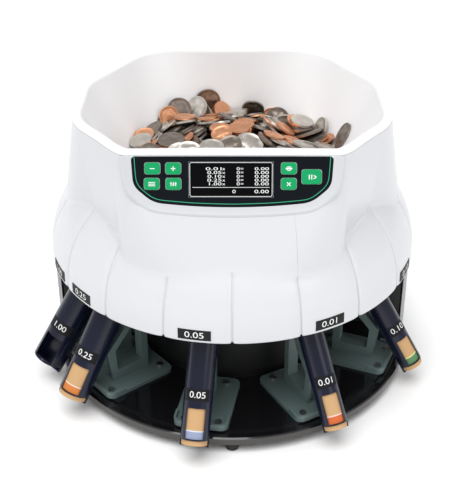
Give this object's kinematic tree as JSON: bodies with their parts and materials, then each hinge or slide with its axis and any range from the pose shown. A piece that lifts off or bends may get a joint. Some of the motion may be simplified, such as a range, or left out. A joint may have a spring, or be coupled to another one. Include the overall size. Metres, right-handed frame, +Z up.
{
  "type": "coin sorting machine",
  "caption": "Desktop coin sorting machine with an open hopper, a sloping key and display panel, and pull-out coin tubes round its round base.",
  "frame": {"origin": "on the table under the axis of the sorting wheel and the round base", "axes": "+Z up, -Y towards the user (the control panel faces -Y), +X to the user's right when facing the panel"},
  "size_m": [0.358, 0.3547, 0.266],
  "materials": {
    "white_shell": "satin moulded",
    "base_black": "polished",
    "foot_rubber": "matt",
    "inner_black": "fine texture",
    "bracket_green": "satin moulded",
    "tube_navy": "gloss",
    "chute_plastic": "matt",
    "kraft_paper": "uncoated paper",
    "label_black": "printed film",
    "panel_black": "printed gloss film",
    "key_green": "satin",
    "lcd_black": "glass front",
    "board_green": "solder resist",
    "steel": "machined",
    "motor_zinc": "zinc plated",
    "belt_rubber": "matt",
    "disc_grey": "moulded"
  },
  "bodies": {
    "machine": {"top_cover": "white_shell", "hopper_bowl": "white_shell", "rear_cover": "white_shell", "base_plate": "base_black", "rubber_feet": "foot_rubber", "inner_wall": "inner_black", "chassis_plate": "inner_black", "sorting_deck": "inner_black", "hopper_floor": "inner_black", "switch_frame": "inner_black", "power_inlet": "inner_black", "data_port": "inner_black", "coin_sensors": "inner_black", "bracket_10c": "bracket_green", "bracket_01c": "bracket_green", "bracket_05c": "bracket_green", "bracket_25c": "bracket_green", "bracket_1d": "bracket_green", "chute_10c": "chute_plastic", "chute_01c": "chute_plastic", "chute_05c": "chute_plastic", "chute_25c": "chute_plastic", "chute_1d": "chute_plastic", "value_labels": "label_black", "control_panel": "panel_black", "lcd_module": "lcd_black", "keypad_board": "board_green", "main_board": "board_green", "power_supply": "board_green", "base_screws": "steel", "bracket_screws": "steel", "deck_pillars": "steel", "upper_bearing": "steel", "lower_bearing": "steel", "motor": "motor_zinc", "drive_belt": "belt_rubber"},
    "rotor": {"disc_shaft": "steel", "feed_disc": "disc_grey", "disc_cone": "disc_grey", "sorting_wheel": "disc_grey", "disc_pulley": "disc_grey"},
    "motor_rotor": {"motor_shaft": "steel", "motor_pulley": "disc_grey"},
    "rocker": {"switch_rocker": "inner_black"},
    "key_minus": {"key_minus": "key_green"},
    "key_plus": {"key_plus": "key_green"},
    "key_batch": {"key_batch": "key_green"},
    "key_set": {"key_set": "key_green"},
    "key_print": {"key_print": "key_green"},
    "key_clear": {"key_clear": "key_green"},
    "key_start": {"key_start": "key_green"},
    "tube_10c": {"tube_10c": "tube_navy", "wrapper_10c": "kraft_paper"},
    "tube_01c": {"tube_01c": "tube_navy", "wrapper_01c": "kraft_paper"},
    "tube_05c": {"tube_05c": "tube_navy", "wrapper_05c": "kraft_paper"},
    "tube_25c": {"tube_25c": "tube_navy", "wrapper_25c": "kraft_paper"},
    "tube_1d": {"tube_1d": "tube_navy"}
  },
  "joints": [
    {"name": "sorting_spin", "type": "hinge", "parent": "machine", "child": "rotor", "pos_m": [0, 0, 0.15], "axis": [0, 0, 1], "continuous": true},
    {"name": "motor_spin", "type": "hinge", "parent": "machine", "child": "motor_rotor", "pos_m": [0, 0.055, 0.12], "axis": [0, 0, 1], "continuous": true},
    {"name": "power_switch", "type": "hinge", "parent": "machine", "child": "rocker", "pos_m": [0.0028, 0.151, 0.053], "axis": [0, 0, 1], "range_deg": [0, 14]},
    {"name": "press_minus", "type": "slide", "parent": "machine", "child": "key_minus", "axis": [0, 0.9533, -0.302], "range_m": [0, 0.0008], "stiffness_N_per_m": 400, "springref_m": -0.0004},
    {"name": "press_plus", "type": "slide", "parent": "machine", "child": "key_plus", "axis": [0, 0.9533, -0.302], "range_m": [0, 0.0008], "stiffness_N_per_m": 400, "springref_m": -0.0004},
    {"name": "press_batch", "type": "slide", "parent": "machine", "child": "key_batch", "axis": [0, 0.9533, -0.302], "range_m": [0, 0.0008], "stiffness_N_per_m": 400, "springref_m": -0.0004},
    {"name": "press_set", "type": "slide", "parent": "machine", "child": "key_set", "axis": [0, 0.9533, -0.302], "range_m": [0, 0.0008], "stiffness_N_per_m": 400, "springref_m": -0.0004},
    {"name": "press_print", "type": "slide", "parent": "machine", "child": "key_print", "axis": [0, 0.9533, -0.302], "range_m": [0, 0.0008], "stiffness_N_per_m": 400, "springref_m": -0.0004},
    {"name": "press_clear", "type": "slide", "parent": "machine", "child": "key_clear", "axis": [0, 0.9533, -0.302], "range_m": [0, 0.0008], "stiffness_N_per_m": 400, "springref_m": -0.0004},
    {"name": "press_start", "type": "slide", "parent": "machine", "child": "key_start", "axis": [0, 0.9533, -0.302], "range_m": [0, 0.0008], "stiffness_N_per_m": 400, "springref_m": -0.0004},
    {"name": "pull_tube_10c", "type": "slide", "parent": "machine", "child": "tube_10c", "axis": [0.9239, -0.3827, 0], "range_m": [0, 0.045]},
    {"name": "pull_tube_01c", "type": "slide", "parent": "machine", "child": "tube_01c", "axis": [0.4924, -0.8704, 0], "range_m": [0, 0.045]},
    {"name": "pull_tube_05c", "type": "slide", "parent": "machine", "child": "tube_05c", "axis": [-0.1771, -0.9842, 0], "range_m": [0, 0.045]},
    {"name": "pull_tube_25c", "type": "slide", "parent": "machine", "child": "tube_25c", "axis": [-0.7771, -0.6293, 0], "range_m": [0, 0.045]},
    {"name": "pull_tube_1d", "type": "slide", "parent": "machine", "child": "tube_1d", "axis": [-0.9304, -0.3665, 0], "range_m": [0, 0.045]}
  ],
  "couplings": [
    {"joint": "motor_spin", "follows": "sorting_spin", "ratio": 3}
  ]
}
